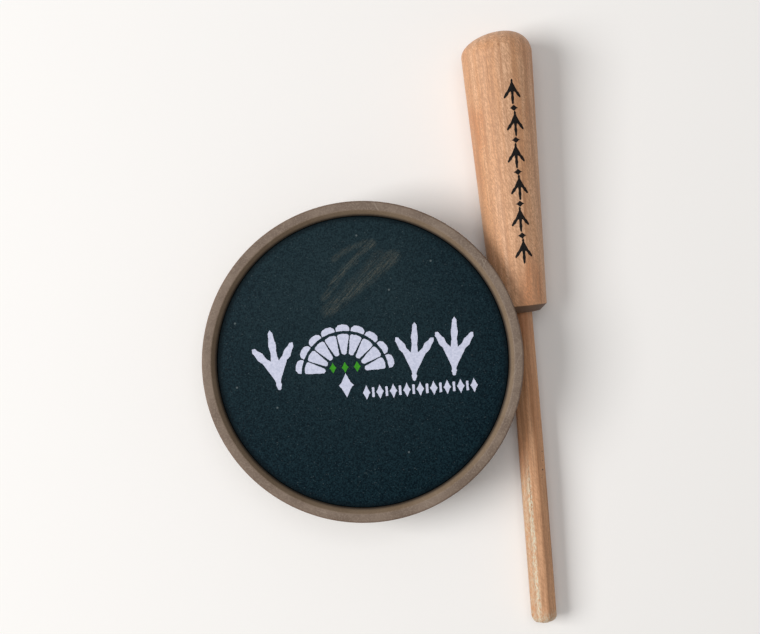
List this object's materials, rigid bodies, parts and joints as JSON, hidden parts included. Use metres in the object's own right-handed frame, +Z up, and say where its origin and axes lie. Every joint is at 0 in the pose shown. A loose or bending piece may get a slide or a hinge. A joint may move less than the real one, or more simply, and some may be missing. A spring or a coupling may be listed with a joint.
{
  "type": "turkey pot call with striker",
  "caption": "Round turkey pot call with a slate playing surface in a flanged plastic pot, and its turned wooden striker lying beside it.",
  "frame": {"origin": "middle of the pot's flat base, on the pot's own axis, at the height of the surface that the call stands on", "axes": "+Z up out of the playing surface, +Y the way the striker's handle end lies, +X from the pot towards the striker"},
  "size_m": [0.1095, 0.1845, 0.022],
  "materials": {
    "pot_plastic": "matt taupe moulded plastic, lightly scuffed",
    "slate": "honed dark blue-grey slate, scuffed where it is played",
    "adhesive": "cured translucent white adhesive",
    "board_glass": "clear float glass",
    "handle_wood": "sanded pale maple, bare",
    "peg_wood": "bare close-grained wood, chalked towards the tip",
    "wood_glue": "dried amber wood glue",
    "white_ink": "matt screen-printed ink",
    "green_ink": "matt screen-printed ink",
    "black_ink": "matt pad-printed ink"
  },
  "bodies": {
    "pot": {"pot_shell": "pot_plastic", "playing_surface": "slate", "surface_adhesive": "adhesive", "sound_board": "board_glass", "sound_board_adhesive": "adhesive"},
    "striker": {"striker_handle": "handle_wood", "striker_peg": "peg_wood", "peg_glue": "wood_glue"}
  },
  "joints": [
    {"name": "striker_lift", "type": "slide", "parent": "pot", "child": "striker", "axis": [0.9021, 0.0873, 0.4226], "range_m": [0, 0.09]}
  ]
}
